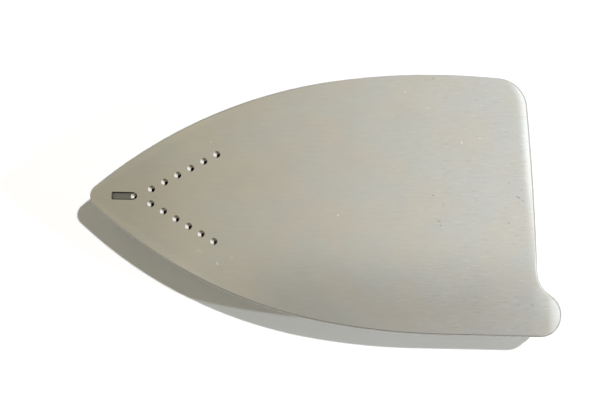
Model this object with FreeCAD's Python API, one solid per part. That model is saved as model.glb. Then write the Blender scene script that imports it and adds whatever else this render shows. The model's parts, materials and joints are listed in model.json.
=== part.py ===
import FreeCAD, Part
import math
import os
from FreeCAD import Vector

# Soleplate of a steam iron: one aluminium casting, modelled lying on its back with the ironing face up.
# X runs along the plate, nose at -X and heel at +X, and the ear is at the heel corner on the -Y side.
# Lengths are millimetres and angles are degrees.

# Outline of the ironing face
LENGTH = 210.0
WIDTH = 117.0
NOSE_RADIUS = 5.4
FLANK_RADIUS = 306.0
FLANK_BREAK_ANGLE = 9.2
WIDEST_AHEAD_OF_HEEL = 41.4
HEEL_RADIUS = 1150.0
HEEL_LEAN = 2.2
HEEL_CORNER_RADIUS = 13.8
EAR_REACH = 11.2
EAR_RADIUS = 10.0
EAR_ROOT_RADIUS = 12.0

# Sole wall, its two edge radii and the least flat that they leave between them
SOLE_THICKNESS = 6.0
SOLE_EDGE_RADIUS = 1.0
BACK_EDGE_RADIUS = 0.8
EDGE_FLAT = 0.4

# Steam ports in two rows behind an apex port, their mouths worn off the bores' axes, and the nose groove
PORT_BORE_DIAMETER = 1.45
PORT_MOUTH_DIAMETER = 3.1
PORT_MOUTH_DEPTH = 0.7
BORE_BEHIND_MOUTH = 0.55
BORE_BESIDE_MOUTH = 0.38
PORT_PITCH = 6.58
PORTS_PER_ROW = 6
PORT_ROW_ANGLE = 29.5
APEX_PORT_FROM_NOSE = 19.8
ROWS_BEHIND_APEX = 7.8
GROOVE_LENGTH = 9.9
GROOVE_WIDTH = 3.5
GROOVE_DEPTH = 1.2
GROOVE_CORNER_RADIUS = 0.7

# Cast back: steam chamber wall, heater bead and bosses, machined to one face
CAST_HEIGHT = 10.0
CAST_DRAFT = 1.5
CAST_FILLET = 1.2
WALL_INSET = 5.0
WALL_THICKNESS = 5.0
WALL_NOSE_RADIUS = 6.0
WALL_INNER_NOSE_RADIUS = 3.0
WALL_CORNER_RADIUS = 9.0
STEAM_CHANNEL_WIDTH = 15.0
BEAD_WIDTH = 12.0
BEAD_NOSE_RADIUS = 8.0
BEAD_INNER_NOSE_RADIUS = 5.0
BEAD_END_AHEAD_OF_HEEL = 36.0

# Bosses in the chamber wall with holes tapped M5, one pair near the nose and one pair near the heel
THREAD_DIAMETER = 5.0
THREAD_PITCH = 0.8
THREAD_DEPTH = 9.0
THREAD_CHAMFER = 0.4
TAP_RUNOUT = 2.0
DRILL_POINT_ANGLE = 118.0
BOSS_RADIUS = 6.5
BOSS_INSET = 12.5
FRONT_BOSS_FROM_NOSE = 67.0
HEEL_BOSS_AHEAD_OF_HEEL = 24.0

# Places that follow from the driving dimensions
HALF_LENGTH = LENGTH / 2
HALF_WIDTH = WIDTH / 2
HEEL_X = HALF_LENGTH - EAR_REACH
WIDEST_X = HEEL_X - WIDEST_AHEAD_OF_HEEL
HEIGHT = CAST_HEIGHT + SOLE_THICKNESS
APEX_PORT_X = APEX_PORT_FROM_NOSE - HALF_LENGTH
GROOVE_FLOOR = HEIGHT - GROOVE_DEPTH
FLANK_BREAK_DIRECTION = math.radians(90 + FLANK_BREAK_ANGLE)
DRAFT_SLOPE = math.tan(math.radians(CAST_DRAFT))
WALL_INNER_INSET = WALL_INSET + WALL_THICKNESS
BEAD_INSET = WALL_INNER_INSET + STEAM_CHANNEL_WIDTH
BEAD_INNER_INSET = BEAD_INSET + BEAD_WIDTH
BEAD_END_X = HEEL_X - BEAD_END_AHEAD_OF_HEEL
UP = Vector(0, 0, 1)

# How far a cutter runs past the face that it enters or leaves
CLEAR = 1.0


def polar(center, radius, angle):
    """Point at an angle in radians on a circle."""
    return center + Vector(radius * math.cos(angle), radius * math.sin(angle), 0)


def mirrored(point):
    """The same point on the other side of the centre line."""
    return Vector(point.x, -point.y, point.z)


def toward(center, point, radius):
    """Point at a distance from a centre in the direction of another point."""
    return center + (point - center).normalize() * radius


def crossing(center_a, radius_a, center_b, radius_b):
    """Where two circles cross, on the right of the way from the first centre to the second."""
    span = center_b - center_a
    along = (radius_a ** 2 - radius_b ** 2 + span.Length ** 2) / (2 * span.Length)
    across = math.sqrt(radius_a ** 2 - along ** 2)
    direction = Vector(span).normalize()
    right = Vector(direction.y, -direction.x, 0)
    return center_a + direction * along + right * across


def arc(start, end, center):
    """Edge along a circle from start to end the short way round."""
    middle = (start + end) / 2
    radius = (start - center).Length
    return Part.Arc(start, toward(center, middle, radius), end).toShape()


def line(start, end):
    """Straight edge."""
    return Part.LineSegment(start, end).toShape()


def flank_circles(inset):
    """Centres and radii of the front and rear arcs of the +Y flank, moved in by an inset."""
    rear_center = Vector(WIDEST_X, HALF_WIDTH - FLANK_RADIUS, 0)
    tip_center = Vector(NOSE_RADIUS - HALF_LENGTH, 0, 0)
    normal = polar(Vector(), 1, FLANK_BREAK_DIRECTION)
    reach = rear_center + normal * FLANK_RADIUS - tip_center
    front_radius = (reach.dot(reach) - NOSE_RADIUS ** 2) / (2 * (reach.dot(normal) - NOSE_RADIUS))
    front_center = rear_center + normal * (FLANK_RADIUS - front_radius)
    return front_center, front_radius - inset, rear_center, FLANK_RADIUS - inset


def nose_center(inset, nose_radius):
    """Centre, on the centre line, of a nose arc that meets both front flank arcs smoothly."""
    front_center, front_radius, _, _ = flank_circles(inset)
    reach = math.sqrt((front_radius - nose_radius) ** 2 - front_center.y ** 2)
    return Vector(front_center.x - reach, 0, 0)


def flank_y(x, inset):
    """Distance of the inset +Y flank from the centre line at a place along the plate."""
    front_center, front_radius, rear_center, rear_radius = flank_circles(inset)
    joint = polar(rear_center, rear_radius, FLANK_BREAK_DIRECTION)
    center, radius = (rear_center, rear_radius) if x > joint.x else (front_center, front_radius)
    return center.y + math.sqrt(radius ** 2 - (x - center.x) ** 2)


def heel_center():
    """Centre of the wide arc of the heel edge, which leans so that the ear side stands further back."""
    lean = math.radians(HEEL_LEAN)
    return Vector(HEEL_X - HEEL_RADIUS * math.cos(lean), -HEEL_RADIUS * math.sin(lean), 0)


def outline(
        inset=0.0, heel_inset=0.0, nose_radius=NOSE_RADIUS, corner_radius=HEEL_CORNER_RADIUS, ear=False):
    """Closed outline of tangent arcs, moved in from the sole's edge, with or without the ear."""
    front_center, front_radius, rear_center, rear_radius = flank_circles(inset)
    nose = nose_center(inset, nose_radius)
    side = HALF_WIDTH - inset
    heel = heel_center()
    heel_radius = HEEL_RADIUS - heel_inset
    nose_joint = toward(front_center, nose, front_radius)
    flank_joint = polar(rear_center, rear_radius, FLANK_BREAK_DIRECTION)
    corner = crossing(rear_center, rear_radius - corner_radius, heel, heel_radius - corner_radius)
    corner_start = toward(heel, corner, heel_radius)
    corner_end = toward(rear_center, corner, rear_radius)
    widest = Vector(WIDEST_X, -side, 0)
    edges = [
        arc(nose_joint, mirrored(nose_joint), nose),
        arc(mirrored(nose_joint), mirrored(flank_joint), mirrored(front_center)),
        arc(mirrored(flank_joint), widest, mirrored(rear_center)),
    ]
    if ear:
        ear_center = Vector(HALF_LENGTH - inset - EAR_RADIUS, EAR_RADIUS - side, 0)
        root = crossing(ear_center, EAR_RADIUS + EAR_ROOT_RADIUS, heel, heel_radius + EAR_ROOT_RADIUS)
        ear_start = Vector(ear_center.x, -side, 0)
        ear_side = ear_center + Vector(EAR_RADIUS, 0, 0)
        ear_end = toward(ear_center, root, EAR_RADIUS)
        heel_start = toward(heel, root, heel_radius)
        edges += [
            line(widest, ear_start),
            arc(ear_start, ear_side, ear_center),
            arc(ear_side, ear_end, ear_center),
            arc(ear_end, heel_start, root),
        ]
    else:
        turn_y = corner_radius - side
        turn_x = heel.x + math.sqrt((heel_radius - corner_radius) ** 2 - (turn_y - heel.y) ** 2)
        turn = Vector(turn_x, turn_y, 0)
        turn_start = Vector(turn_x, -side, 0)
        heel_start = toward(heel, turn, heel_radius)
        edges += [line(widest, turn_start), arc(turn_start, heel_start, turn)]
    edges += [
        arc(heel_start, corner_start, heel),
        arc(corner_start, corner_end, corner),
        arc(corner_end, flank_joint, rear_center),
        arc(flank_joint, nose_joint, front_center),
    ]
    return Part.Wire(edges)


def revolved(points, x, y):
    """Solid of revolution about a vertical axis from (radius, height) corners."""
    corners = [Vector(x + radius, y, height) for radius, height in points]
    face = Part.Face(Part.makePolygon(corners + corners[:1]))
    return face.revolve(Vector(x, y, 0), UP, 360)


def drafted_block(inset, heel_inset, spread, **shape):
    """Block under the sole wall, drafted toward the back face and flared where it meets the wall.

    A spread of 1 makes the block narrower toward the back, and -1 makes the tool for a drafted hollow.
    """
    levels = [
        (CAST_HEIGHT, -CAST_FILLET),
        (CAST_HEIGHT - CAST_FILLET, 0.0),
        (0.0, (CAST_HEIGHT - CAST_FILLET) * DRAFT_SLOPE),
    ]
    sections = []
    for height, step in levels:
        section = outline(inset + spread * step, heel_inset + spread * step, **shape)
        section.translate(UP * height)
        sections.append(section)
    return Part.makeLoft(sections, True, True)


def sole_wall():
    """The flat wall with the ironing face, rounded all round toward the sole and eased toward the back."""
    wall = Part.Face(outline(ear=True)).extrude(UP * SOLE_THICKNESS)
    wall.translate(UP * CAST_HEIGHT)
    sole_edges = [edge for edge in wall.Edges if edge.BoundBox.ZMin > HEIGHT - EDGE_FLAT]
    room = SOLE_THICKNESS - BACK_EDGE_RADIUS - EDGE_FLAT
    wall = wall.makeFillet(min(SOLE_EDGE_RADIUS, room, NOSE_RADIUS - EDGE_FLAT), sole_edges)
    back_edges = [edge for edge in wall.Edges if edge.BoundBox.ZMax < CAST_HEIGHT + EDGE_FLAT]
    return wall.makeFillet(BACK_EDGE_RADIUS, back_edges)


def chamber_wall():
    """The closed wall round the steam chamber, which carries the cover."""
    outer = drafted_block(
        WALL_INSET, WALL_INSET, 1, nose_radius=WALL_NOSE_RADIUS, corner_radius=WALL_CORNER_RADIUS)
    inner = drafted_block(
        WALL_INNER_INSET, WALL_INNER_INSET, -1,
        nose_radius=WALL_INNER_NOSE_RADIUS, corner_radius=WALL_CORNER_RADIUS)
    return outer.cut(inner)


def drafted_post(x, y, radius):
    """Round post under the sole wall with the castings' draft and flare."""
    tip_radius = radius - (CAST_HEIGHT - CAST_FILLET) * DRAFT_SLOPE
    profile = [
        (0, 0),
        (tip_radius, 0),
        (radius, CAST_HEIGHT - CAST_FILLET),
        (radius + CAST_FILLET, CAST_HEIGHT),
        (0, CAST_HEIGHT),
    ]
    return revolved(profile, x, y)


def heater_bead():
    """The U-shaped bead that carries the heat to the sole, open toward the heel with rounded ends."""
    outer = drafted_block(
        BEAD_INSET, WALL_INSET, 1, nose_radius=BEAD_NOSE_RADIUS, corner_radius=WALL_CORNER_RADIUS)
    inner = drafted_block(
        BEAD_INNER_INSET, WALL_INNER_INSET, -1,
        nose_radius=BEAD_INNER_NOSE_RADIUS, corner_radius=WALL_CORNER_RADIUS)
    behind = Part.makeBox(
        HALF_LENGTH, WIDTH, HEIGHT, Vector(BEAD_END_X, -HALF_WIDTH, -CLEAR))
    bead = outer.cut(inner).cut(behind)
    leg_y = flank_y(min(BEAD_END_X, WIDEST_X), BEAD_INSET + BEAD_WIDTH / 2)
    ends = [drafted_post(BEAD_END_X, side * leg_y, BEAD_WIDTH / 2) for side in (1, -1)]
    return bead.fuse(ends)


def row_port_centers():
    """Centres of the ports in the two rows that spread from the apex port."""
    centers = []
    step_x = PORT_PITCH * math.cos(math.radians(PORT_ROW_ANGLE))
    step_y = PORT_PITCH * math.sin(math.radians(PORT_ROW_ANGLE))
    for index in range(PORTS_PER_ROW):
        x = APEX_PORT_X + ROWS_BEHIND_APEX + index * step_x
        y = PORT_PITCH / 2 + index * step_y
        centers += [(x, y), (x, -y)]
    return centers


def circle(center, diameter):
    """Level round wire."""
    return Part.Wire(Part.makeCircle(diameter / 2, center))


def port_tool(x, y, mouth_height):
    """Cutter for one steam port: its bore, its slanting mouth at a height, and the way straight above that."""
    mouth_center = Vector(x, y, mouth_height)
    throat = mouth_center + Vector(BORE_BEHIND_MOUTH, -BORE_BESIDE_MOUTH, -PORT_MOUTH_DEPTH)
    bore = Part.makeCylinder(
        PORT_BORE_DIAMETER / 2, throat.z - CAST_HEIGHT + CLEAR, Vector(throat.x, throat.y, CAST_HEIGHT - CLEAR))
    mouth = Part.makeLoft(
        [circle(throat, PORT_BORE_DIAMETER), circle(mouth_center, PORT_MOUTH_DIAMETER)], True, True)
    above = Part.makeCylinder(PORT_MOUTH_DIAMETER / 2, HEIGHT + CLEAR - mouth_height, mouth_center)
    return bore.fuse([mouth, above])


def port_tools():
    """Drills for every steam port: the rows open at the sole, the apex port in the floor of the groove."""
    rows = [port_tool(x, y, HEIGHT) for x, y in row_port_centers()]
    return rows + [port_tool(APEX_PORT_X, 0, GROOVE_FLOOR)]


def groove_tool():
    """Cutter for the steam groove that runs from the apex port toward the nose."""
    groove = Part.makeBox(
        GROOVE_LENGTH, GROOVE_WIDTH, GROOVE_DEPTH + CLEAR,
        Vector(APEX_PORT_X - GROOVE_LENGTH, -GROOVE_WIDTH / 2, GROOVE_FLOOR))
    front = APEX_PORT_X - GROOVE_LENGTH + GROOVE_CORNER_RADIUS
    front_corners = [
        edge for edge in groove.Edges
        if edge.BoundBox.ZLength > GROOVE_DEPTH and edge.BoundBox.XMax < front
    ]
    return groove.makeFillet(GROOVE_CORNER_RADIUS, front_corners)


def tap_tool(x, y):
    """Blind fixing hole from the back face, at the thread's outer size down to the tap drill's end."""
    thread_radius = THREAD_DIAMETER / 2
    drill_radius = (THREAD_DIAMETER - THREAD_PITCH) / 2
    drill_depth = THREAD_DEPTH + TAP_RUNOUT
    point = drill_radius / math.tan(math.radians(DRILL_POINT_ANGLE / 2))
    profile = [
        (0, -CLEAR),
        (thread_radius + THREAD_CHAMFER + CLEAR, -CLEAR),
        (thread_radius, THREAD_CHAMFER),
        (thread_radius, THREAD_DEPTH),
        (drill_radius, THREAD_DEPTH),
        (drill_radius, drill_depth),
        (0, drill_depth + point),
    ]
    return revolved(profile, x, y)


def boss_centers():
    """Centres of the four bosses, which stand in the chamber wall in two pairs."""
    front_x = FRONT_BOSS_FROM_NOSE - HALF_LENGTH
    front_y = flank_y(front_x, BOSS_INSET)
    heel_x = HEEL_X - HEEL_BOSS_AHEAD_OF_HEEL
    heel_y = HALF_WIDTH - BOSS_INSET
    return [(front_x, front_y), (front_x, -front_y), (heel_x, heel_y), (heel_x, -heel_y)]


def soleplate():
    """The finished casting as one solid."""
    bosses = [drafted_post(x, y, BOSS_RADIUS) for x, y in boss_centers()]
    casting = sole_wall().fuse([chamber_wall(), heater_bead()] + bosses)
    taps = [tap_tool(x, y) for x, y in boss_centers()]
    plate = casting.cut(port_tools() + taps + [groove_tool()])
    return plate.removeSplitter().Solids[0]


os.makedirs("parts", exist_ok=True)
plate = soleplate()
plate.exportStep("parts/soleplate.step")
print("soleplate volume", round(plate.Volume), "valid", plate.isValid(), "solids", len(plate.Solids))
print("box", plate.optimalBoundingBox(), "bosses", boss_centers())
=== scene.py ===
"""Looks of a steam iron's cast soleplate, which lies on its back with the ironing face up.

The frame gives the casting and its places in metres. X runs from the nose to the heel, Z out of the sole.
"""

import json
import logging
import math
from collections.abc import Callable
from dataclasses import asdict, dataclass
from enum import Enum
from typing import Any

import bmesh
import bpy
from mathutils import Matrix, Vector


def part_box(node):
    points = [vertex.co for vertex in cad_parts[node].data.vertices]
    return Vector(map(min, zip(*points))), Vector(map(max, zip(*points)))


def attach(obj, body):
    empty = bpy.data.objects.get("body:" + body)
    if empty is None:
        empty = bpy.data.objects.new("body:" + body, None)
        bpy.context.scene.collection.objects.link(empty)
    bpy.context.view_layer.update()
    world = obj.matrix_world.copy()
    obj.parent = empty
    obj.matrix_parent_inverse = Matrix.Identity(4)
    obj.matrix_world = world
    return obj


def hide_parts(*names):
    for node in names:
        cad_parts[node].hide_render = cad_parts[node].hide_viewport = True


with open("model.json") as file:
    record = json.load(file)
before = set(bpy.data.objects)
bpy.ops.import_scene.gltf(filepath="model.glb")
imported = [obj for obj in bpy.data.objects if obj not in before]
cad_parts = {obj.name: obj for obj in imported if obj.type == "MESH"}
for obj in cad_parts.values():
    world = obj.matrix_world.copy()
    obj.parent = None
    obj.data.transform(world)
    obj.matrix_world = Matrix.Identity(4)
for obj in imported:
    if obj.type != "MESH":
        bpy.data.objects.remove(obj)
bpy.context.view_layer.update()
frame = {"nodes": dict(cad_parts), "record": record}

LOG = logging.getLogger("soleplate")
NODE = "soleplate"
BODY = "root"

# A millimetre in metres, and the distance within which two points are one
MM = 0.001
WELD = 0.001 * MM

Colour = tuple[float, float, float]
Triple = tuple[float, float, float]
Span = tuple[float, float]
WHITE: Colour = (1.0, 1.0, 1.0)
IN_PLAN: Triple = (1.0, 1.0, 0.0)

# Places of the colour sockets on a Mix node that mixes colours
MIX_FACTOR = 0
MIX_FIRST = 6
MIX_SECOND = 7
MIX_RESULT = 2

# The value that smooth noise swings about
NOISE_MIDDLE = 0.5


class Signal:
    """A value that varies over a surface: a node's output, with arithmetic that adds Math nodes."""

    def __init__(self, sheet: "NodeSheet", node: bpy.types.Node, output: int | str) -> None:
        """Wraps one output of a node.

        Args:
            sheet: the sheet that the node is on.
            node: the node.
            output: the output's name or place.
        """
        self.sheet = sheet
        self.node = node
        self.output = output

    def socket(self) -> bpy.types.NodeSocket:
        """The wrapped socket."""
        return self.node.outputs[self.output]

    def other(self, output: int | str) -> "Signal":
        """Another output of the same node."""
        return Signal(self.sheet, self.node, output)

    def _math(self, operation: str, *values: "Signal | float") -> "Signal":
        """Adds one Math node on values or signals."""
        return self.sheet.add("ShaderNodeMath", {"operation": operation}, dict(enumerate(values)))

    def __add__(self, value: "Signal | float") -> "Signal":
        """Sum."""
        return self._math("ADD", self, value)

    def __radd__(self, value: float) -> "Signal":
        """Sum with a number in front."""
        return self._math("ADD", value, self)

    def __sub__(self, value: "Signal | float") -> "Signal":
        """Difference."""
        return self._math("SUBTRACT", self, value)

    def __rsub__(self, value: float) -> "Signal":
        """Difference with a number in front."""
        return self._math("SUBTRACT", value, self)

    def __mul__(self, value: "Signal | float") -> "Signal":
        """Product."""
        return self._math("MULTIPLY", self, value)

    def __rmul__(self, value: float) -> "Signal":
        """Product with a number in front."""
        return self._math("MULTIPLY", value, self)

    def __abs__(self) -> "Signal":
        """Distance from 0."""
        return self._math("ABSOLUTE", self)

    def root(self) -> "Signal":
        """Square root."""
        return self._math("SQRT", self)

    def sine(self) -> "Signal":
        """Sine of an angle in radians."""
        return self._math("SINE", self)


class NodeSheet:
    """A node tree that is filled from Python, for shaders, the world and geometry alike."""

    def __init__(self, tree: bpy.types.NodeTree) -> None:
        """Starts on a tree."""
        self.tree = tree

    @classmethod
    def blank(cls, owner: bpy.types.Material | bpy.types.World) -> "NodeSheet":
        """Empties the sheet of a material or a world.

        Args:
            owner: the material or the world.

        Returns:
            Its sheet, with no node on it.
        """
        owner.use_nodes = True
        owner.node_tree.nodes.clear()
        return cls(owner.node_tree)

    def add(
        self,
        kind: str,
        settings: dict[str, Any] | None = None,
        inputs: dict[int | str, Any] | None = None,
        output: int | str = 0,
    ) -> Signal:
        """Adds one node.

        Args:
            kind: the node's type.
            settings: the node's own settings, which are set first.
            inputs: values, or signals to link, by socket name or place.
            output: the output that is handed back.

        Returns:
            The chosen output as a signal.
        """
        node = self.tree.nodes.new(kind)
        for name, value in (settings or {}).items():
            setattr(node, name, value)
        for key, value in (inputs or {}).items():
            self.feed(node.inputs[key], value)
        return Signal(self, node, output)

    def feed(self, socket: bpy.types.NodeSocket, value: Any) -> None:
        """Sets or links an input socket.

        Args:
            socket: the socket.
            value: a number, vector, solid colour or material to set, or a signal to link.
        """
        if isinstance(value, Signal):
            self.tree.links.new(value.socket(), socket)
        elif socket.type == "RGBA":
            socket.default_value = (*value, 1.0)
        else:
            socket.default_value = value

    def place(self) -> Signal:
        """The point on the piece, in metres."""
        return self.add("ShaderNodeTexCoord", output="Object")

    def axis(self, vector: Signal, name: str) -> Signal:
        """One axis of a vector, whose node has the other axes too."""
        return self.add("ShaderNodeSeparateXYZ", inputs={0: vector}, output=name)

    def length(self, vector: Signal) -> Signal:
        """Length of a vector."""
        return self.add("ShaderNodeVectorMath", {"operation": "LENGTH"}, {0: vector}, "Value")

    def ramp(self, value: Signal, span: Span) -> Signal:
        """A soft step.

        Args:
            value: what it follows.
            span: where the step is 0 and where it is 1, in either order.

        Returns:
            The step, from 0 to 1.
        """
        low, high = sorted(span)
        first, last = (0.0, 1.0) if span[0] < span[1] else (1.0, 0.0)
        inputs = {"Value": value, "From Min": low, "From Max": high, "To Min": first, "To Max": last}
        return self.add("ShaderNodeMapRange", {"interpolation_type": "SMOOTHSTEP"}, inputs)

    def blend(self, factor: Signal, first: Signal | Colour, second: Signal | Colour) -> Signal:
        """A colour between two colours."""
        inputs = {MIX_FACTOR: factor, MIX_FIRST: first, MIX_SECOND: second}
        return self.add("ShaderNodeMix", {"data_type": "RGBA"}, inputs, MIX_RESULT)

    def shade(self, colour: Signal | Colour, amount: Signal) -> Signal:
        """A colour made lighter or darker by a factor."""
        inputs = {"Vector": colour, "Scale": amount}
        return self.add("ShaderNodeVectorMath", {"operation": "SCALE"}, inputs)

    def seen(self) -> Signal:
        """Tells rays that show a thing from light that falls on things.

        Returns:
            1 for rays from the camera, a reflection or glass, and 0 for the others.
        """
        camera = self.add("ShaderNodeLightPath", output="Is Camera Ray")
        rays = camera + camera.other("Is Glossy Ray") + camera.other("Is Transmission Ray")
        return self.ramp(rays, (0.0, 1.0))


@dataclass(frozen=True)
class Effect:
    """How far a pattern moves a finish's tone, its roughness and, in metres, its relief."""

    tone: float = 0.0
    roughness: float = 0.0
    relief: float = 0.0


@dataclass
class Coat:
    """What a finish gives to the metal's shader: its colour, and what its patterns add up to."""

    colour: Signal | Colour
    roughness: Signal | float
    tone: Signal | float = 1.0
    relief: Signal | float = 0.0

    def lay(self, pattern: Signal, effect: Effect) -> None:
        """Adds a pattern.

        Args:
            pattern: how strong the pattern is at each point.
            effect: what it does where it is 1.
        """
        for name, share in asdict(effect).items():
            if share:
                setattr(self, name, getattr(self, name) + share * pattern)


@dataclass(frozen=True)
class Grain:
    """Smooth noise on a piece, and what it does to the finish.

    per_metre counts its swells in a metre along X, Y and Z, and detail counts its finer layers.
    """

    per_metre: Triple
    detail: float
    effect: Effect = Effect()

    def level(self, sheet: NodeSheet, place: Signal) -> Signal:
        """Reads the noise.

        Args:
            sheet: the finish's sheet.
            place: the point on the piece.

        Returns:
            A value near 0.5 that mostly stays between 0.25 and 0.75.
        """
        scaled = sheet.add("ShaderNodeMapping", inputs={"Vector": place, "Scale": self.per_metre})
        inputs = {"Vector": scaled, "Scale": 1.0, "Detail": self.detail}
        return sheet.add("ShaderNodeTexNoise", inputs=inputs)

    def swing(self, sheet: NodeSheet, place: Signal) -> Signal:
        """The noise with its middle at 0."""
        return self.level(sheet, place) - NOISE_MIDDLE


@dataclass(frozen=True)
class MetalFinish:
    """A surface of the bare aluminium."""

    name: str
    colour: Colour
    roughness: float
    metallic: float = 1.0

    def paint(self, sheet: NodeSheet) -> Coat:
        """Works out the finish over the surface."""
        raise NotImplementedError

    def material(self) -> bpy.types.Material:
        """Makes the finish's material.

        Returns:
            The material, with its colour, roughness and relief read at each point of the piece.
        """
        material = bpy.data.materials.new(self.name)
        sheet = NodeSheet.blank(material)
        coat = self.paint(sheet)
        relief = {"Strength": 1.0, "Distance": 1.0, "Height": coat.relief}
        inputs = {
            "Base Color": sheet.shade(coat.colour, coat.tone),
            "Metallic": self.metallic,
            "Roughness": coat.roughness,
            "Normal": sheet.add("ShaderNodeBump", inputs=relief),
        }
        metal = sheet.add("ShaderNodeBsdfPrincipled", inputs=inputs)
        sheet.add("ShaderNodeOutputMaterial", inputs={"Surface": metal})
        return material


@dataclass(frozen=True)
class WearMark:
    """A scratch, nick or worn spot in the sole.

    Its place and size are millimetres and its turn is degrees. Its core is the share of it at full depth.
    """

    x: float
    y: float
    length: float
    width: float
    turn: float
    tone: float
    core: float = 0.4
    depth: float = 0.003 * MM

    def effect(self) -> Effect:
        """What the mark does to the finish."""
        return Effect(tone=self.tone, relief=-self.depth)

    def mask(self, sheet: NodeSheet, place: Signal) -> Signal:
        """Tells how far a point is in the mark.

        Args:
            sheet: the finish's sheet.
            place: the point on the piece.

        Returns:
            1 in the mark's core and 0 outside the mark.
        """
        inputs = {
            "Vector": place,
            "Location": (self.x * MM, self.y * MM, 0.0),
            "Rotation": (0.0, 0.0, math.radians(self.turn)),
            "Scale": (self.length * MM / 2, self.width * MM / 2, 1.0),
        }
        local = sheet.add("ShaderNodeMapping", {"vector_type": "TEXTURE"}, inputs)
        flat = sheet.add("ShaderNodeVectorMath", {"operation": "MULTIPLY"}, {0: local, 1: IN_PLAN})
        return sheet.ramp(sheet.length(flat), (1.0, self.core))


# Marks of use on the sole: x, y, length, width, turn and tone of each
SOLE_MARKS = (
    WearMark(86.2, 2.9, 3.2, 0.5, -28, -0.55),
    WearMark(88.3, 1.4, 1.4, 0.5, -62, -0.45),
    WearMark(87.7, 6.2, 1.8, 0.4, -42, -0.3),
    WearMark(82.1, 9.3, 1.2, 0.6, -20, -0.35),
    WearMark(81.9, -8.6, 2.2, 0.6, -25, -0.25),
    WearMark(48.4, 3.0, 0.8, 0.7, 0, -0.6),
    WearMark(52.8, -0.9, 1.2, 0.5, -60, -0.35),
    WearMark(50.7, -8.4, 2.4, 0.5, -20, -0.35),
    WearMark(51.6, -10.3, 1.2, 0.5, -10, -0.5),
    WearMark(91.7, -44.5, 1.8, 0.5, -20, -0.35),
    WearMark(53.1, 15.4, 1.4, 0.4, 30, -0.2),
    WearMark(48.1, 56.4, 1.4, 0.5, 30, -0.35),
    WearMark(35.5, 49.9, 0.7, 0.7, 0, 0.4),
    WearMark(61.1, 27.1, 2.2, 0.5, -62, 0.55),
    WearMark(69.2, 29.4, 1.3, 0.6, 0, 0.3),
    WearMark(6.0, -6.8, 1.1, 0.7, 20, 0.55),
    WearMark(-46.9, -29.2, 2.4, 0.45, -72, 0.7),
    WearMark(-40.7, -26.3, 2.2, 1.6, 0, 0.09),
    WearMark(-55.2, -23.7, 5.0, 1.8, -10, 0.06),
    WearMark(-51.6, 25.1, 0.8, 0.6, 40, 0.35),
)


@dataclass(frozen=True)
class BrushedSole(MetalFinish):
    """The ironing face, brushed along the plate, stained in faint patches and marked by use, with lighter
    strips along the nose's edges and painted shade toward the nose's end.
    """

    stain: Colour = (0.61, 0.58, 0.505)
    stain_cloud: Grain = Grain((34.0, 52.0, 1.0), 3.0)
    stain_span: Span = (0.38, 0.62)
    fine: Grain = Grain((220.0, 4200.0, 1.0), 3.0, Effect(tone=0.08, roughness=0.06, relief=0.004 * MM))
    broad: Grain = Grain((130.0, 900.0, 1.0), 2.0, Effect(tone=0.06, relief=0.0024 * MM))
    patch: Grain = Grain((70.0, 95.0, 1.0), 2.0, Effect(tone=0.08, roughness=0.05))
    stroke: Grain = Grain((230.0, 1250.0, 1.0), 1.0)
    pale_span: Span = (0.62, 0.74)
    pale_stroke: Effect = Effect(tone=0.08)
    dark_span: Span = (0.38, 0.26)
    dark_stroke: Effect = Effect(tone=-0.09)
    scuffed_span: Span = (5.0 * MM, 70.0 * MM)
    # The sole is painted lighter in a strip along each edge of the nose
    strip_x: float = -95.0 * MM
    strip_y: float = 9.5 * MM
    strip_angle: float = math.radians(33)
    strip_width: float = 3.4 * MM
    strip_lift: Effect = Effect(tone=0.06)
    # Painted shade: the sole is painted darker toward the nose's end
    nose_end_shade_span: Span = (-56.0 * MM, -90.0 * MM)
    nose_end_shade: Effect = Effect(tone=-0.10)

    def scuff(self, coat: Coat, sheet: NodeSheet, place: Signal) -> None:
        """Adds short pale and dark strokes, which crowd toward the heel.

        Args:
            coat: the coat that they go on.
            sheet: the finish's sheet.
            place: the point on the piece.
        """
        stroke = self.stroke.level(sheet, place)
        crowd = sheet.ramp(sheet.axis(place, "X"), self.scuffed_span)
        coat.lay(sheet.ramp(stroke, self.pale_span) * crowd, self.pale_stroke)
        coat.lay(sheet.ramp(stroke, self.dark_span) * crowd, self.dark_stroke)

    def nose_strips(self, sheet: NodeSheet, place: Signal) -> Signal:
        """Finds the strips along both edges of the nose that are painted lighter.

        Args:
            sheet: the finish's sheet.
            place: the point on the piece.

        Returns:
            How far a point lies in a strip, from 0 to 1.
        """
        along = sheet.axis(place, "X")
        ahead = along - self.strip_x
        aside = abs(along.other("Y")) - self.strip_y
        reach = aside * math.cos(self.strip_angle) - ahead * math.sin(self.strip_angle)
        return sheet.ramp(reach, (-self.strip_width, 0.0))

    def paint(self, sheet: NodeSheet) -> Coat:
        """Lays strokes along X, patches of stain, the nose's lighter strips, painted shade toward the
        nose's end and the separate marks.

        Args:
            sheet: the finish's sheet.

        Returns:
            The coat.
        """
        place = sheet.place()
        stained = sheet.ramp(self.stain_cloud.level(sheet, place), self.stain_span)
        coat = Coat(sheet.blend(stained, self.colour, self.stain), self.roughness)
        for grain in (self.fine, self.broad, self.patch):
            coat.lay(grain.swing(sheet, place), grain.effect)
        # Painted shade toward the nose's end
        coat.lay(sheet.ramp(sheet.axis(place, "X"), self.nose_end_shade_span), self.nose_end_shade)
        # Lighter strips along the nose's edges
        coat.lay(self.nose_strips(sheet, place), self.strip_lift)
        self.scuff(coat, sheet, place)
        for mark in SOLE_MARKS:
            coat.lay(mark.mask(sheet, place), mark.effect())
        return coat


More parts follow.
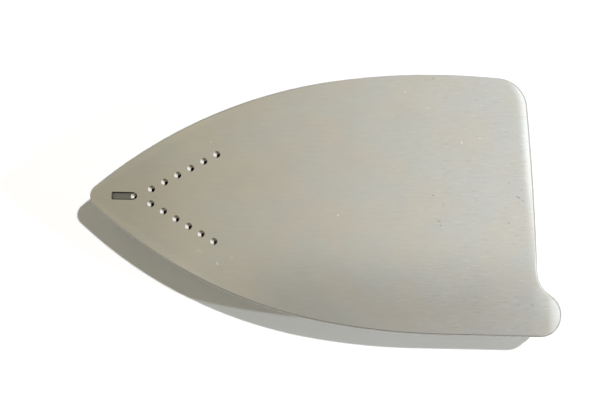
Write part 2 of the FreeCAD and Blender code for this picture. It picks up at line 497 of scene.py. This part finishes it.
@dataclass(frozen=True)
class BuffedEdge(MetalFinish):
    """The rounded edge, buffed next to the sole and left with its dull cast skin lower down, with painted
    shade on the skin toward the nose.
    """

    skin: Colour = (0.59, 0.575, 0.535)
    # Painted shade: the skin is painted darker toward the nose
    nose_painted_shade: Colour = (0.46, 0.45, 0.41)
    nose_shade_span: Span = (25.0 * MM, -40.0 * MM)
    skin_roughness: float = 0.65
    skin_span: Span = (15.96 * MM, 15.78 * MM)
    skin_waver: float = 0.15 * MM
    wave: Grain = Grain((160.0, 160.0, 160.0), 1.0, Effect(tone=0.08, relief=0.01 * MM))
    nicks: Grain = Grain(
        (1400.0, 1400.0, 1400.0), 2.0, Effect(tone=0.10, roughness=0.06, relief=0.003 * MM))

    def paint(self, sheet: NodeSheet) -> Coat:
        """Lays the low waves that the buffing leaves, fine nicks, and the skin by height, with painted
        shade on it toward the nose.

        Args:
            sheet: the finish's sheet.

        Returns:
            The coat.
        """
        place = sheet.place()
        height = sheet.axis(place, "Z")
        wave = self.wave.swing(sheet, place)
        bare = sheet.ramp(height + self.skin_waver * wave, self.skin_span)
        # The skin's colour, with painted shade toward the nose
        skin = sheet.blend(sheet.ramp(height.other("X"), self.nose_shade_span), self.skin, self.nose_painted_shade)
        coat = Coat(sheet.blend(bare, self.colour, skin), self.roughness)
        coat.lay(wave, self.wave.effect)
        coat.lay(self.nicks.swing(sheet, place), self.nicks.effect)
        coat.lay(bare, Effect(roughness=self.skin_roughness - self.roughness))
        return coat


@dataclass(frozen=True)
class DrilledWall(MetalFinish):
    """A drilled wall, with fine rings round the drill's axis, duller and painted darker further in, as
    painted shade.
    """

    ring_pitch: float = 0.12 * MM
    ring_height: float = 0.014 * MM
    ring_tone: float = 0.15
    ring_roughness: float = 0.1
    breaks_per_metre: float = 200.0
    # Painted shade: the wall is painted toward this dark colour deeper in the hole
    deep_shade: Colour = (0.16, 0.15, 0.13)
    deep_shade_span: Span = (14.0 * MM, 11.5 * MM)
    deep_shade_dulls: Effect = Effect(roughness=0.2)

    def paint(self, sheet: NodeSheet) -> Coat:
        """Lays rings by height, and painted shade and dullness that grow inward.

        Args:
            sheet: the finish's sheet.

        Returns:
            The coat.
        """
        place = sheet.place()
        # How deep a point lies in the hole; it sets the painted shade and the dullness
        dull = sheet.ramp(sheet.axis(place, "Z"), self.deep_shade_span)
        coat = Coat(sheet.blend(dull, self.colour, self.deep_shade), self.roughness)
        per_metre = (self.breaks_per_metre, self.breaks_per_metre, 1.0 / self.ring_pitch)
        rings = Grain(per_metre, 1.0, Effect(self.ring_tone, self.ring_roughness, self.ring_height))
        coat.lay(rings.swing(sheet, place), rings.effect)
        coat.lay(dull, self.deep_shade_dulls)
        return coat


@dataclass(frozen=True)
class DullShadedRecess(MetalFinish):
    """A recess that the brushing doesn't reach, with a fine sandy grain: darker, partly for its rough
    cast face and partly as painted shade.
    """

    sand: Grain = Grain((2600.0, 2600.0, 2600.0), 2.0, Effect(tone=0.3, relief=0.01 * MM))
    slow: Grain = Grain((260.0, 420.0, 260.0), 2.0, Effect(tone=0.35, roughness=0.2))
    # Painted shade: the floor is painted darker along both long corners
    corner_shade: float = 0.75
    corner_shade_span: Span = (1.1 * MM, 1.5 * MM)

    def paint(self, sheet: NodeSheet) -> Coat:
        """Lays sandy grain, slow changes of tone and painted shade along both long corners.

        Args:
            sheet: the finish's sheet.

        Returns:
            The coat.
        """
        place = sheet.place()
        coat = Coat(self.colour, self.roughness)
        for grain in (self.sand, self.slow):
            coat.lay(grain.swing(sheet, place), grain.effect)
        # Painted shade along both long corners
        corner_shade_mask = sheet.ramp(abs(sheet.axis(place, "Y")), self.corner_shade_span)
        coat.tone = coat.tone * (1.0 - self.corner_shade * corner_shade_mask)
        return coat


@dataclass(frozen=True)
class CastSkin(MetalFinish):
    """The skin as it came out of the die: a fine orange peel, flow lines and darker patches."""

    patch: Colour = (0.36, 0.355, 0.34)
    patch_share: float = 0.6
    patch_cloud: Grain = Grain((48.0, 62.0, 48.0), 3.0)
    patch_span: Span = (0.45, 0.68)
    patch_dulls: Effect = Effect(roughness=0.15)
    peel: Grain = Grain(
        (1500.0, 1500.0, 1500.0), 3.0, Effect(tone=0.22, roughness=0.18, relief=0.03 * MM))
    flow: Grain = Grain((55.0, 420.0, 120.0), 2.0, Effect(tone=0.25, relief=0.02 * MM))

    def paint(self, sheet: NodeSheet) -> Coat:
        """Lays peel, flow lines and patches.

        Args:
            sheet: the finish's sheet.

        Returns:
            The coat.
        """
        place = sheet.place()
        dark = self.patch_share * sheet.ramp(self.patch_cloud.level(sheet, place), self.patch_span)
        coat = Coat(sheet.blend(dark, self.colour, self.patch), self.roughness)
        for grain in (self.peel, self.flow):
            coat.lay(grain.swing(sheet, place), grain.effect)
        coat.lay(dark, self.patch_dulls)
        return coat


@dataclass(frozen=True)
class MilledFace(MetalFinish):
    """The back face, milled in one pass along the plate, so that its marks are arcs of the cutter."""

    cutter_radius: float = 80.0 * MM
    feed: float = 0.55 * MM
    uneven: Grain = Grain((120.0, 120.0, 1.0), 2.0)
    marks: Effect = Effect(tone=0.14, roughness=0.1, relief=0.003 * MM)

    def paint(self, sheet: NodeSheet) -> Coat:
        """Lays arcs at the cutter's feed, with an uneven depth.

        Args:
            sheet: the finish's sheet.

        Returns:
            The coat.
        """
        place = sheet.place()
        along = sheet.axis(place, "X")
        across = along.other("Y")
        sweep = (self.cutter_radius ** 2 - across * across).root()
        arcs = ((along - sweep) * (math.tau / self.feed)).sine()
        coat = Coat(self.colour, self.roughness)
        coat.lay(arcs * self.uneven.level(sheet, place), self.marks)
        return coat


class Zone(Enum):
    """The surfaces of the casting, each with its finish."""

    SOLE = BrushedSole("brushed_sole", colour=(0.595, 0.59, 0.535), roughness=0.11)
    EDGE = BuffedEdge("buffed_edge", colour=(0.60, 0.585, 0.53), roughness=0.16)
    PORT = DrilledWall("port_mouth", colour=(0.54, 0.505, 0.43), roughness=0.16, ring_height=0.003 * MM)
    # The bore is painted near black as painted shade deep in the hole
    BORE = DrilledWall(
        "sooted_bore",
        colour=(0.02, 0.019, 0.017),
        roughness=0.90,
        metallic=0.0,
        deep_shade=(0.01, 0.01, 0.009),
    )
    # The groove is painted dark partly for its rough cast face and partly as painted shade
    GROOVE = DullShadedRecess("dull_groove", colour=(0.24, 0.235, 0.205), roughness=0.45)
    CAST = CastSkin("cast_skin", colour=(0.56, 0.56, 0.54), roughness=0.48)
    MILLED = MilledFace("milled_back", colour=(0.68, 0.68, 0.66), roughness=0.27)
    TAPPED = DrilledWall(
        "tapped_hole",
        colour=(0.62, 0.61, 0.58),
        roughness=0.34,
        deep_shade_span=(3.0 * MM, 9.0 * MM),
    )


def put(name: str, data: bpy.types.ID) -> bpy.types.Object:
    """Puts a mesh, lamp or camera into the scene.

    Args:
        name: the object's name.
        data: the mesh, lamp or camera.

    Returns:
        The object, at the origin.
    """
    thing = bpy.data.objects.new(name, data)
    bpy.context.scene.collection.objects.link(thing)
    return thing


def soft_step(value: float, span: Span) -> float:
    """A soft step from 0 at the start of a span to 1 at its end."""
    share = min(max((value - span[0]) / (span[1] - span[0]), 0.0), 1.0)
    return share * share * (3 - 2 * share)


@dataclass(frozen=True)
class HeelRollOff:
    """How the polished sole falls away at the heel, at its plain corner and at the ear.

    The rounded edge goes with it, less and less down to a depth. A grid on the sole carries the curve.
    """

    corner: Vector = Vector((77.4, 43.6)) * MM
    corner_radius: float = 13.8 * MM
    lean: float = math.radians(4.0)
    width: float = 8.4 * MM
    slope: float = 0.27
    flank_span: Span = (5.0 * MM, 13.0 * MM)
    ear_span: Span = (-55.0 * MM, 25.0 * MM)
    ear_start: float = 98.5 * MM
    ear_slope: float = 0.125
    ear_width: float = 6.0 * MM
    heel_start: float = 82.0 * MM
    grid_along: float = 0.7 * MM
    grid_across: float = 1.5 * MM
    grid_steps: int = 33
    depth: float = 3.0 * MM

    def fall(self, place: Vector) -> float:
        """How far the polished face lies under the flat of the sole.

        Its slope grows with the square of the way past the heel's start, and evenly past the ear's.

        Args:
            place: a point on the face.

        Returns:
            The depth in metres.
        """
        local = Matrix.Rotation(-self.lean, 2) @ (place.xy - self.corner)
        reach = Vector((max(local.x, 0.0), max(local.y, 0.0))).length
        past = max(reach - self.corner_radius + self.width, 0.0)
        share = soft_step(local.x, self.flank_span) * soft_step(place.y, self.ear_span)
        heel = share * self.slope * past ** 3 / (3 * self.width ** 2)
        ear = self.ear_slope * max(place.x - self.ear_start, 0.0) ** 2 / (2 * self.ear_width)
        return heel + ear

    def cuts(self, reach: float) -> list[tuple[Vector, Vector]]:
        """The planes that cut the face into a grid at the heel.

        Args:
            reach: how far the plate reaches from its centre line.

        Returns:
            A point on each plane, and the plane's normal.
        """
        along = Vector((1.0, 0.0, 0.0))
        across = Vector((0.0, 1.0, 0.0))
        rows = round(2 * reach / self.grid_across)
        planes = []
        for step in range(self.grid_steps):
            planes.append((along * (self.heel_start + step * self.grid_along), along))
        for step in range(1, rows):
            planes.append((across * (step * self.grid_across - reach), across))
        return planes

    def shape(
        self,
        mesh: bmesh.types.BMesh,
        is_sole: Callable[[bmesh.types.BMFace], bool],
        top: float,
    ) -> None:
        """Cuts the face into a fine grid at the heel and lowers it there, with the rounded edge round it.

        Args:
            mesh: the casting's mesh.
            is_sole: tells whether a face is on the sole.
            top: the height of the sole.
        """
        for point, normal in self.cuts(max(abs(vert.co.y) for vert in mesh.verts)):
            faces = [face for face in mesh.faces if is_sole(face)]
            faces = [face for face in faces if max(vert.co.x for vert in face.verts) > self.heel_start]
            edges = {edge for face in faces for edge in face.edges}
            verts = {vert for face in faces for vert in face.verts}
            geometry = [*verts, *edges, *faces]
            bmesh.ops.bisect_plane(mesh, geom=geometry, dist=WELD, plane_co=point, plane_no=normal)
        for vert in mesh.verts:
            share = (vert.co.z - top + self.depth) / self.depth
            if share > 0:
                vert.co.z -= share * self.fall(vert.co)


@dataclass(frozen=True)
class SteamPorts:
    """The steam ports and the groove at the nose, in the frame's metres."""

    mouth_radius: float = 1.55 * MM
    bore_radius: float = 0.725 * MM
    bore_shift: Vector = Vector((0.55, -0.38)) * MM
    apex_x: float = -85.2 * MM
    rows_behind_apex: float = 7.8 * MM
    pitch: float = 6.58 * MM
    per_row: int = 6
    row_angle: float = math.radians(29.5)
    groove_length: float = 9.9 * MM
    groove_width: float = 3.5 * MM

    def centers(self) -> list[Vector]:
        """Works out where the mouths are.

        Returns:
            The centres of the apex port and of both rows, on the sole.
        """
        places = [Vector((self.apex_x, 0.0))]
        for index in range(self.per_row):
            x = self.apex_x + self.rows_behind_apex + index * self.pitch * math.cos(self.row_angle)
            y = self.pitch / 2 + index * self.pitch * math.sin(self.row_angle)
            places += [Vector((x, y)), Vector((x, -y))]
        return places

    def in_mouth(self, point: Vector, slack: float) -> bool:
        """Whether a point is on or within the mouth of a port."""
        return any((point.xy - center).length < self.mouth_radius + slack for center in self.centers())

    def in_bore(self, point: Vector, slack: float) -> bool:
        """Whether a point is on the bore of a port, which stands beside the middle of its mouth."""
        axes = [center + self.bore_shift for center in self.centers()]
        return any((point.xy - axis).length < self.bore_radius + slack for axis in axes)

    def in_groove(self, point: Vector, slack: float) -> bool:
        """Whether a point is in the groove."""
        along = self.apex_x - self.groove_length - slack < point.x < self.apex_x
        return along and abs(point.y) < self.groove_width / 2 + slack


@dataclass(frozen=True)
class TappedHoles:
    """The four tapped holes in the bosses and the ridges of their threads."""

    radius: float = 2.5 * MM
    mouth_radius: float = 2.9 * MM
    pitch: float = 0.8 * MM
    depth: float = 9.0 * MM
    lead_in: float = 0.4 * MM
    ridge_radius: float = 0.36 * MM
    ridge_sides: int = 3
    ridge_sink: float = 0.10 * MM
    steps_per_turn: int = 28

    def centers(self, record: dict[str, Any]) -> list[Vector]:
        """Reads the holes' mouths from the record's mounts.

        Args:
            record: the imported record.

        Returns:
            The centre of each hole on the back face.
        """
        places = []
        for mount in record["mounts"]:
            if mount["kind"] == "bolt_pattern":
                half = mount["dims"]["spacing_y_mm"] * MM / 2
                for side in (1, -1):
                    places.append(Vector(mount["pos_m"]) + Vector((0.0, side * half, 0.0)))
        return places

    def in_hole(self, point: Vector, record: dict[str, Any], slack: float) -> bool:
        """Whether a point is on or within one of the holes."""
        reach = self.mouth_radius + slack
        return any((point.xy - center.xy).length < reach for center in self.centers(record))

    def sizes(self) -> dict[str, float | int]:
        """Works out the ridges' sizes.

        Returns:
            The sizes by the names of the geometry tree's inputs.
        """
        threaded = self.depth - self.lead_in - 2 * self.ridge_radius
        return {
            "Turns": threaded / self.pitch,
            "Steps": self.steps_per_turn,
            "Helix Radius": self.radius - self.ridge_radius / 2 + self.ridge_sink,
            "Height": threaded,
            "Start": self.lead_in + self.ridge_radius,
            "Ridge Radius": self.ridge_radius,
            "Ridge Sides": self.ridge_sides,
        }

    def ridge_tree(self, material: bpy.types.Material) -> bpy.types.GeometryNodeTree:
        """Builds the geometry tree that sets a helical ridge on each point of a mesh.

        Args:
            material: the ridges' material.

        Returns:
            The tree, whose inputs are the ridge's sizes.
        """
        tree = bpy.data.node_groups.new("thread_ridges", "GeometryNodeTree")
        tree.interface.new_socket("Geometry", in_out="INPUT", socket_type="NodeSocketGeometry")
        for name, size in self.sizes().items():
            kind = "NodeSocketInt" if isinstance(size, int) else "NodeSocketFloat"
            tree.interface.new_socket(name, in_out="INPUT", socket_type=kind)
        tree.interface.new_socket("Geometry", in_out="OUTPUT", socket_type="NodeSocketGeometry")
        sheet = NodeSheet(tree)
        given = sheet.add("NodeGroupInput", output="Geometry")
        spiral = {
            "Resolution": given.other("Steps"),
            "Rotations": given.other("Turns"),
            "Start Radius": given.other("Helix Radius"),
            "End Radius": given.other("Helix Radius"),
            "Height": given.other("Height"),
        }
        helix = sheet.add("GeometryNodeCurveSpiral", inputs=spiral)
        upright = sheet.add("GeometryNodeSetCurveNormal", {"mode": "Z_UP"}, {"Curve": helix})
        section = {"Resolution": given.other("Ridge Sides"), "Radius": given.other("Ridge Radius")}
        outline = sheet.add("GeometryNodeCurvePrimitiveCircle", inputs=section)
        sweep = {"Curve": upright, "Profile Curve": outline, "Fill Caps": True}
        ridge = sheet.add("GeometryNodeCurveToMesh", inputs=sweep)
        lift = sheet.add("ShaderNodeCombineXYZ", inputs={"Z": given.other("Start")})
        raised = sheet.add("GeometryNodeTransform", inputs={"Geometry": ridge, "Translation": lift})
        copies = sheet.add("GeometryNodeInstanceOnPoints", inputs={"Points": given, "Instance": raised})
        solid = sheet.add("GeometryNodeRealizeInstances", inputs={"Geometry": copies})
        dressed = sheet.add("GeometryNodeSetMaterial", inputs={"Geometry": solid, "Material": material})
        sheet.add("NodeGroupOutput", inputs={"Geometry": dressed})
        return tree

    def build(self, record: dict[str, Any]) -> bpy.types.Object:
        """Makes the ridges of all four threads as one plain mesh.

        Args:
            record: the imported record.

        Returns:
            The finished piece.
        """
        points = bpy.data.meshes.new("thread_points")
        points.from_pydata([tuple(center) for center in self.centers(record)], [], [])
        piece = put("tapped_threads", points)
        tree = self.ridge_tree(Zone.TAPPED.value.material())
        modifier = piece.modifiers.new("ridges", "NODES")
        modifier.node_group = tree
        sizes = self.sizes()
        for item in tree.interface.items_tree:
            if item.name in sizes:
                modifier[item.identifier] = sizes[item.name]
        evaluated = piece.evaluated_get(bpy.context.evaluated_depsgraph_get())
        ridges = bpy.data.meshes.new_from_object(evaluated)
        piece.modifiers.remove(modifier)
        piece.data = ridges
        return piece


@dataclass(frozen=True)
class Casting:
    """The soleplate's casting: a merged copy of the solid, with a finish on each of its surfaces."""

    ports: SteamPorts
    holes: TappedHoles
    roll_off: HeelRollOff
    sole_thickness: float = 6.0 * MM
    slack: float = 0.02 * MM
    level: float = 0.999
    sharp_angle: float = math.radians(38)

    def zone(self, point: Vector, normal: Vector, top: float, record: dict[str, Any]) -> Zone:
        """Tells which surface a face belongs to.

        Args:
            point: the middle of the face.
            normal: the direction that it faces.
            top: the height of the sole.
            record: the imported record.

        Returns:
            The surface.
        """
        if point.z > top - self.slack and normal.z > self.level:
            return Zone.SOLE
        if point.z > top - self.sole_thickness + self.slack:
            if self.ports.in_bore(point, self.slack):
                return Zone.BORE
            if self.ports.in_mouth(point, self.slack):
                return Zone.PORT
            return Zone.GROOVE if self.ports.in_groove(point, self.slack) else Zone.EDGE
        if point.z < self.slack and normal.z < -self.level:
            return Zone.MILLED
        return Zone.TAPPED if self.holes.in_hole(point, record, self.slack) else Zone.CAST

    def flows(self, edge: bmesh.types.BMEdge, zones: list[Zone]) -> bool:
        """Tells whether the faces on both sides of an edge are one smooth surface.

        Args:
            edge: an edge between two faces.
            zones: the surfaces in the order of the mesh's materials.

        Returns:
            False at the rim of a port or the groove, and at a sharp edge.
        """
        pair = {zones[face.material_index] for face in edge.link_faces}
        at_rim = len(pair) > 1 and pair & {Zone.PORT, Zone.BORE, Zone.GROOVE}
        return not at_rim and edge.calc_face_angle() < self.sharp_angle

    def build(self, solid: bpy.types.Object, record: dict[str, Any]) -> bpy.types.Object:
        """Copies the solid, merges it, shades its rounds smoothly and dresses each surface.

        Args:
            solid: the casting in the frame.
            record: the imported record.

        Returns:
            The finished piece.
        """
        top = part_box(NODE)[1].z
        merged = bmesh.new()
        merged.from_mesh(solid.data)
        bmesh.ops.remove_doubles(merged, verts=merged.verts, dist=WELD)
        zones = list(Zone)
        for face in merged.faces:
            face.smooth = True
            zone = self.zone(face.calc_center_median(), face.normal, top, record)
            face.material_index = zones.index(zone)
        self.roll_off.shape(merged, lambda face: zones[face.material_index] is Zone.SOLE, top)
        merged.normal_update()
        for edge in merged.edges:
            edge.smooth = edge.is_manifold and self.flows(edge, zones)
        mesh = bpy.data.meshes.new("casting")
        merged.to_mesh(mesh)
        merged.free()
        for zone in zones:
            mesh.materials.append(zone.value.material())
        piece = put("casting", mesh)
        normals = piece.modifiers.new("even_normals", "WEIGHTED_NORMAL")
        normals.keep_sharp = True
        return piece


@dataclass(frozen=True)
class Lamp:
    """A square lamp behind a diffuser, which no metal mirrors.

    Its azimuth and elevation are degrees, and its level is how bright it renders a white floor.
    """

    name: str
    azimuth: float
    elevation: float
    distance: float
    size: float
    level: float
    colour: Colour

    def build(self, target: Vector) -> None:
        """Hangs the lamp.

        Args:
            target: the point that it faces.
        """
        turn = math.radians(self.azimuth)
        rise = math.radians(self.elevation)
        level = math.cos(rise)
        toward = Vector((level * math.cos(turn), level * math.sin(turn), math.sin(rise)))
        data = bpy.data.lights.new(self.name, "AREA")
        data.size = self.size
        data.color = self.colour
        data.energy = self.level * (math.pi * self.distance) ** 2 / math.sin(rise)
        lamp = put(self.name, data)
        lamp.location = target + toward * self.distance
        lamp.rotation_euler = toward.to_track_quat("Z", "Y").to_euler()
        lamp.visible_glossy = False


@dataclass(frozen=True)
class Floor:
    """The plain pale floor, which fades into the backdrop far from the plate."""

    size: float = 6.0
    colour: Colour = (0.97, 0.97, 0.97)
    lift: Colour = (0.045, 0.041, 0.037)
    fade: Span = (0.5, 1.8)

    def material(self) -> bpy.types.Material:
        """Makes the floor's matt material.

        Returns:
            The material, with a lift that shows and lights nothing.
        """
        material = bpy.data.materials.new("pale_floor")
        sheet = NodeSheet.blank(material)
        matt = sheet.add("ShaderNodeBsdfDiffuse", inputs={"Color": self.colour})
        far = sheet.ramp(sheet.length(sheet.place()), self.fade)
        glow = {"Color": sheet.blend(far, self.lift, WHITE), "Strength": sheet.seen()}
        lift = sheet.add("ShaderNodeEmission", inputs=glow)
        both = sheet.add("ShaderNodeAddShader", inputs={0: matt, 1: lift})
        sheet.add("ShaderNodeOutputMaterial", inputs={"Surface": both})
        return material

    def build(self) -> None:
        """Lays the floor under the plate."""
        half = self.size / 2
        corners = [(-half, -half, 0.0), (half, -half, 0.0), (half, half, 0.0), (-half, half, 0.0)]
        mesh = bpy.data.meshes.new("floor")
        mesh.from_pydata(corners, [], [(0, 1, 2, 3)])
        mesh.materials.append(self.material())
        floor = put("floor", mesh)


@dataclass(frozen=True)
class Room:
    """The even light all round, and the room that the metal mirrors, with its window and pale backdrop.

    A span is a stretch of the X, Y or Z of the direction in which the room is seen, from -1 to 1.
    """

    soft: Colour = (0.245, 0.235, 0.186)
    dim_side: Colour = (0.605, 0.57, 0.475)
    bright_side: Colour = (1.10, 1.13, 1.19)
    bright_along: Span = (-0.40, 0.60)
    shaded_share: float = 0.31
    shaded_across: Span = (0.05, -0.052)
    shaded_from: Span = (-0.19, 0.0)
    shaded_to: Span = (0.44, 0.28)
    dark_share: float = 0.6
    dark_across: Span = (-0.34, -0.6)
    window: Colour = (1.68, 1.77, 1.93)
    window_along: Span = (0.34, 0.70)
    window_across: Span = (-0.28, 0.04)
    window_rise: Span = (0.40, 0.58)
    backdrop_rise: Span = (0.05, 0.22)

    def paint(self, sheet: NodeSheet) -> Signal:
        """Works out what is seen of the room in each direction.

        Args:
            sheet: the world's sheet.

        Returns:
            The colour.
        """
        along = sheet.axis(sheet.add("ShaderNodeTexCoord", output="Generated"), "X")
        across = along.other("Y")
        height = along.other("Z")
        wall = sheet.blend(sheet.ramp(along, self.bright_along), self.dim_side, self.bright_side)
        shaded = sheet.ramp(along, self.shaded_from) * sheet.ramp(along, self.shaded_to)
        shaded = shaded * sheet.ramp(across, self.shaded_across)
        dark = sheet.ramp(across, self.dark_across)
        wall = sheet.shade(wall, (1.0 - self.shaded_share * shaded) * (1.0 - self.dark_share * dark))
        opening = sheet.ramp(along, self.window_along) * sheet.ramp(across, self.window_across)
        opening = opening * sheet.ramp(height, self.window_rise)
        upper = sheet.blend(opening, wall, self.window)
        return sheet.blend(sheet.ramp(height, self.backdrop_rise), WHITE, upper)

    def build(self) -> None:
        """Sets the world to the room."""
        world = bpy.data.worlds.new("studio")
        sheet = NodeSheet.blank(world)
        colour = sheet.blend(sheet.seen(), self.soft, self.paint(sheet))
        glow = sheet.add("ShaderNodeBackground", inputs={"Color": colour})
        sheet.add("ShaderNodeOutputWorld", inputs={"Surface": glow})
        bpy.context.scene.world = world


@dataclass(frozen=True)
class View:
    """The camera over the plate."""

    eye: Vector = Vector((-7.89, -30.56, 304.0)) * MM
    aim: Vector = Vector((-8.76, -2.25, 16.0)) * MM
    roll: float = math.radians(1.182)
    lens: float = 38.36
    sensor: float = 36.0

    def build(self) -> None:
        """Stands the camera at its eye point, turned toward its aim and rolled."""
        data = bpy.data.cameras.new("camera")
        data.lens = self.lens
        data.sensor_width = self.sensor
        back = (self.eye - self.aim).normalized()
        right = Vector((math.cos(self.roll), math.sin(self.roll), 0.0))
        right = (right - back * right.dot(back)).normalized()
        turn = Matrix((right, back.cross(right), back)).transposed()
        camera = put("camera", data)
        camera.matrix_world = Matrix.Translation(self.eye) @ turn.to_4x4()
        bpy.context.scene.camera = camera


@dataclass(frozen=True)
class Studio:
    """The pale floor, the soft light round the plate and the camera over it."""

    floor: Floor = Floor()
    room: Room = Room()
    view: View = View()
    key: Lamp = Lamp(
        "key_lamp",
        azimuth=36.0,
        elevation=50.5,
        distance=5.0,
        size=0.16,
        level=0.78,
        colour=(0.99, 1.0, 1.04),
    )
    fill: Lamp = Lamp(
        "fill_lamp",
        azimuth=-8.0,
        elevation=18.2,
        distance=2.5,
        size=0.06,
        level=0.155,
        colour=(0.93, 1.0, 1.12),
    )

    def build(self, target: Vector) -> None:
        """Sets the whole studio up.

        Args:
            target: the point that the lamps face.
        """
        self.floor.build()
        self.room.build()
        self.key.build(target)
        self.fill.build(target)
        self.view.build()
        bpy.context.scene.view_settings.view_transform = "Standard"


def adopt(piece: bpy.types.Object) -> None:
    """Ties a finished piece to the plate's body, and reports it.

    Args:
        piece: the piece.
    """
    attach(piece, BODY)
    LOG.info("%s: %d faces", piece.name, len(piece.data.polygons))


def main() -> None:
    """Builds the plate and the studio in order."""
    logging.basicConfig(level=logging.INFO, format="%(name)s: %(message)s")
    record = frame["record"]
    holes = TappedHoles()
    casting = Casting(SteamPorts(), holes, HeelRollOff()).build(frame["nodes"][NODE], record)
    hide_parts(NODE)
    adopt(casting)
    adopt(holes.build(record))
    Studio().build(Vector((0.0, 0.0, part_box(NODE)[1].z)))


if __name__ == "__main__":
    main()
